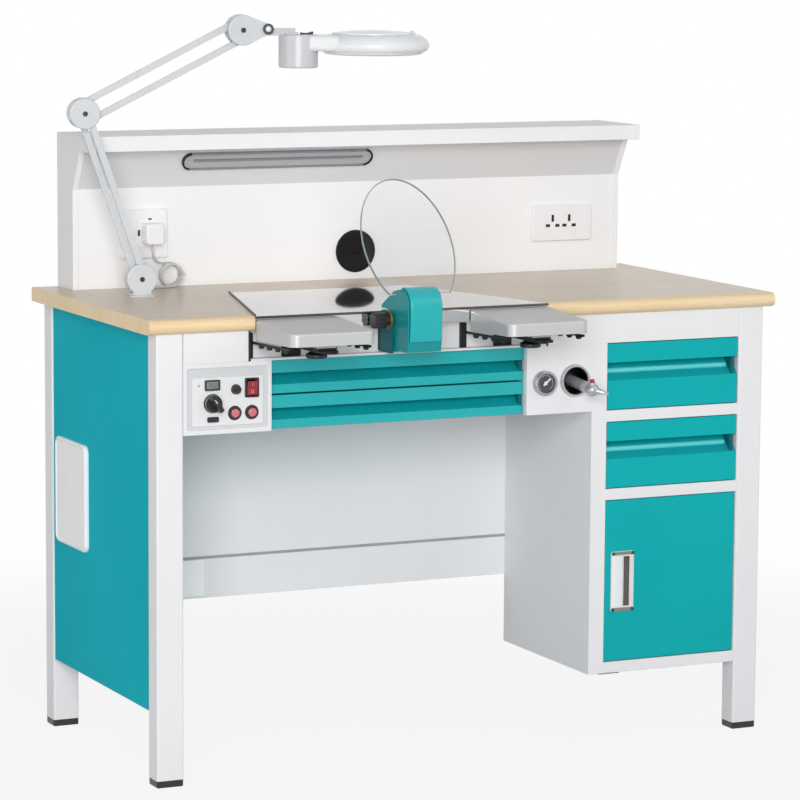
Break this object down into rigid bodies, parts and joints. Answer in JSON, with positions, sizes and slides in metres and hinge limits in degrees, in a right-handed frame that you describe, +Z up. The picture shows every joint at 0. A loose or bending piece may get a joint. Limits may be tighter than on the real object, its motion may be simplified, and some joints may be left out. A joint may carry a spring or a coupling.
{
  "type": "dental laboratory bench",
  "caption": "Technician's work bench with a side cabinet, pull-out trays, suction head under a glass shield, hand rests, a lit upstand and a jointed magnifier lamp.",
  "frame": {"origin": "on the floor under the middle of the bench's outer box", "axes": "+X along the bench to the user's right, +Y from the user to the back, +Z up"},
  "size_m": [1.2, 0.733, 1.2864],
  "materials": {
    "white_paint": "fine powder coat",
    "teal_paint": "smooth powder coat",
    "laminate": "laminated board",
    "beech": "clear lacquer",
    "stainless": "polished",
    "zinc": "zinc plated sheet",
    "black_paint": "satin",
    "black_plastic": "satin",
    "black_rubber": "matt",
    "white_plastic": "satin",
    "white_cable": "soft",
    "red_plastic": "gloss",
    "chrome": "plated",
    "aluminium": "satin anodised",
    "grey_plastic": "fine grain",
    "clear_glass": "clear",
    "diffuser": "frosted"
  },
  "bodies": {
    "bench": {"access_cover": "white_plastic", "cabinet_shell": "white_paint", "control_box": "white_paint", "control_inserts": "black_plastic", "cord_coil": "white_cable", "drawer_runners": "zinc", "edge_band": "beech", "extractor": "zinc", "foot_caps": "black_plastic", "front_fascia": "white_paint", "gauge_box": "white_paint", "grommet": "black_rubber", "gun_holder": "black_plastic", "knee_panel": "white_paint", "lamp_base": "white_paint", "lamp_cord": "white_cable", "lamp_plug": "white_plastic", "left_end_frame": "white_paint", "light_bezel": "black_plastic", "light_diffuser": "diffuser", "lower_rail": "white_paint", "pressure_gauge": "chrome", "rear_panel": "white_paint", "recess_rim": "black_plastic", "right_end_frame": "white_paint", "side_panels": "teal_paint", "socket_plates": "white_plastic", "tabletop": "laminate", "upstand_shell": "white_paint", "work_brackets": "black_paint", "work_plate": "stainless"},
    "upper_drawer": {"upper_drawer": "teal_paint"},
    "lower_drawer": {"lower_drawer": "teal_paint"},
    "upper_tray": {"upper_tray": "teal_paint"},
    "lower_tray": {"lower_tray": "teal_paint"},
    "door": {"cabinet_door": "teal_paint", "door_handle": "aluminium"},
    "speed_knob": {"speed_knob": "black_plastic"},
    "rocker_switch": {"rocker_switch": "red_plastic"},
    "left_button": {"left_button": "red_plastic"},
    "right_button": {"right_button": "red_plastic"},
    "air_gun": {"air_gun": "chrome"},
    "gun_button": {"gun_button": "red_plastic"},
    "suction_head": {"suction_body": "teal_paint", "glass_shield": "clear_glass"},
    "suction_knob": {"suction_knob": "black_plastic"},
    "left_armrest": {"left_armrest": "grey_plastic"},
    "right_armrest": {"right_armrest": "grey_plastic"},
    "lamp_post": {"lamp_post": "white_plastic"},
    "lower_arm": {"lower_arm": "white_paint"},
    "lower_link": {"lower_link": "white_paint"},
    "elbow_bracket": {"elbow_bracket": "white_plastic"},
    "upper_arm": {"upper_arm": "white_paint"},
    "upper_link": {"upper_link": "white_paint"},
    "head_bracket": {"head_bracket": "white_plastic"},
    "lamp": {"lamp_housing": "white_plastic", "lamp_head": "white_plastic", "lamp_lens": "clear_glass"},
    "lamp_switch": {"lamp_switch": "black_plastic"},
    "lens_cover": {"lens_cover": "white_plastic"}
  },
  "joints": [
    {"name": "upper_drawer_slide", "type": "slide", "parent": "bench", "child": "upper_drawer", "axis": [0, -1, 0], "range_m": [0, 0.22]},
    {"name": "lower_drawer_slide", "type": "slide", "parent": "bench", "child": "lower_drawer", "axis": [0, -1, 0], "range_m": [0, 0.22]},
    {"name": "upper_tray_slide", "type": "slide", "parent": "bench", "child": "upper_tray", "axis": [0, -1, 0], "range_m": [0, 0.15]},
    {"name": "lower_tray_slide", "type": "slide", "parent": "bench", "child": "lower_tray", "axis": [0, -1, 0], "range_m": [0, 0.15]},
    {"name": "door_hinge", "type": "hinge", "parent": "bench", "child": "door", "pos_m": [0.526, -0.194, 0.146], "axis": [0, 0, 1], "range_deg": [0, 100]},
    {"name": "speed_knob_turn", "type": "hinge", "parent": "bench", "child": "speed_knob", "pos_m": [-0.482, -0.2, 0.65], "axis": [0, -1, 0], "range_deg": [-150, 150]},
    {"name": "rocker_tilt", "type": "hinge", "parent": "bench", "child": "rocker_switch", "pos_m": [-0.4115, -0.2015, 0.674], "axis": [1, 0, 0], "range_deg": [-14, 0]},
    {"name": "left_button_press", "type": "slide", "parent": "bench", "child": "left_button", "axis": [0, 1, 0], "range_m": [0, 0.003], "stiffness_N_per_m": 400, "springref_m": -0.002},
    {"name": "right_button_press", "type": "slide", "parent": "bench", "child": "right_button", "axis": [0, 1, 0], "range_m": [0, 0.003], "stiffness_N_per_m": 400, "springref_m": -0.002},
    {"name": "gun_pull", "type": "slide", "parent": "bench", "child": "air_gun", "axis": [0, -1, 0], "range_m": [0, 0.06]},
    {"name": "gun_button_press", "type": "slide", "parent": "air_gun", "child": "gun_button", "axis": [0, 0, -1], "range_m": [0, 0.002], "stiffness_N_per_m": 500, "springref_m": -0.001},
    {"name": "suction_tilt", "type": "hinge", "parent": "bench", "child": "suction_head", "pos_m": [-0.134, -0.2295, 0.781], "axis": [1, 0, 0], "range_deg": [0, 20]},
    {"name": "suction_knob_turn", "type": "hinge", "parent": "bench", "child": "suction_knob", "pos_m": [-0.134, -0.2295, 0.781], "axis": [1, 0, 0], "continuous": true},
    {"name": "left_armrest_slide", "type": "slide", "parent": "bench", "child": "left_armrest", "axis": [0, -1, 0], "range_m": [0, 0.04]},
    {"name": "right_armrest_slide", "type": "slide", "parent": "bench", "child": "right_armrest", "axis": [0, -1, 0], "range_m": [0, 0.04]},
    {"name": "lamp_swivel", "type": "hinge", "parent": "bench", "child": "lamp_post", "pos_m": [-0.4708, 0.1615, 0.795], "axis": [0, 0, 1], "range_deg": [-5, 100]},
    {"name": "lower_arm_tilt", "type": "hinge", "parent": "lamp_post", "child": "lower_arm", "pos_m": [-0.4708, 0.1615, 0.8433], "axis": [-0.1736, -0.9848, 0], "range_deg": [-18, 40]},
    {"name": "lower_link_tilt", "type": "hinge", "parent": "lamp_post", "child": "lower_link", "pos_m": [-0.4708, 0.1615, 0.8073], "axis": [-0.1736, -0.9848, 0], "range_deg": [-19, 41]},
    {"name": "elbow_level", "type": "hinge", "parent": "lower_arm", "child": "elbow_bracket", "pos_m": [-0.56898, 0.17881, 1.13366], "axis": [-0.1736, -0.9848, 0], "range_deg": [-41, 19]},
    {"name": "upper_arm_tilt", "type": "hinge", "parent": "elbow_bracket", "child": "upper_arm", "pos_m": [-0.56898, 0.17881, 1.13366], "axis": [-0.1736, -0.9848, 0], "range_deg": [-42, 40]},
    {"name": "upper_link_tilt", "type": "hinge", "parent": "elbow_bracket", "child": "upper_link", "pos_m": [-0.56898, 0.17881, 1.09766], "axis": [-0.1736, -0.9848, 0], "range_deg": [-43, 41]},
    {"name": "head_level", "type": "hinge", "parent": "upper_arm", "child": "head_bracket", "pos_m": [-0.29239, 0.13004, 1.27739], "axis": [-0.1736, -0.9848, 0], "range_deg": [-41, 43]},
    {"name": "lamp_tilt", "type": "hinge", "parent": "head_bracket", "child": "lamp", "pos_m": [-0.24905, 0.1224, 1.26139], "axis": [-0.1736, -0.9848, 0], "range_deg": [-35, 40]},
    {"name": "lamp_switch_tilt", "type": "hinge", "parent": "lamp", "child": "lamp_switch", "pos_m": [-0.17618, 0.10955, 1.24839], "axis": [-0.1736, -0.9848, 0], "range_deg": [-12, 0]},
    {"name": "lens_cover_hinge", "type": "hinge", "parent": "lamp", "child": "lens_cover", "pos_m": [0.01537, 0.07578, 1.25439], "axis": [0.1736, 0.9848, 0], "range_deg": [0, 95]}
  ],
  "couplings": [
    {"joint": "lower_link_tilt", "follows": "lower_arm_tilt", "ratio": 1},
    {"joint": "elbow_level", "follows": "lower_arm_tilt", "ratio": -1},
    {"joint": "upper_link_tilt", "follows": "upper_arm_tilt", "ratio": 1},
    {"joint": "head_level", "follows": "upper_arm_tilt", "ratio": -1}
  ]
}
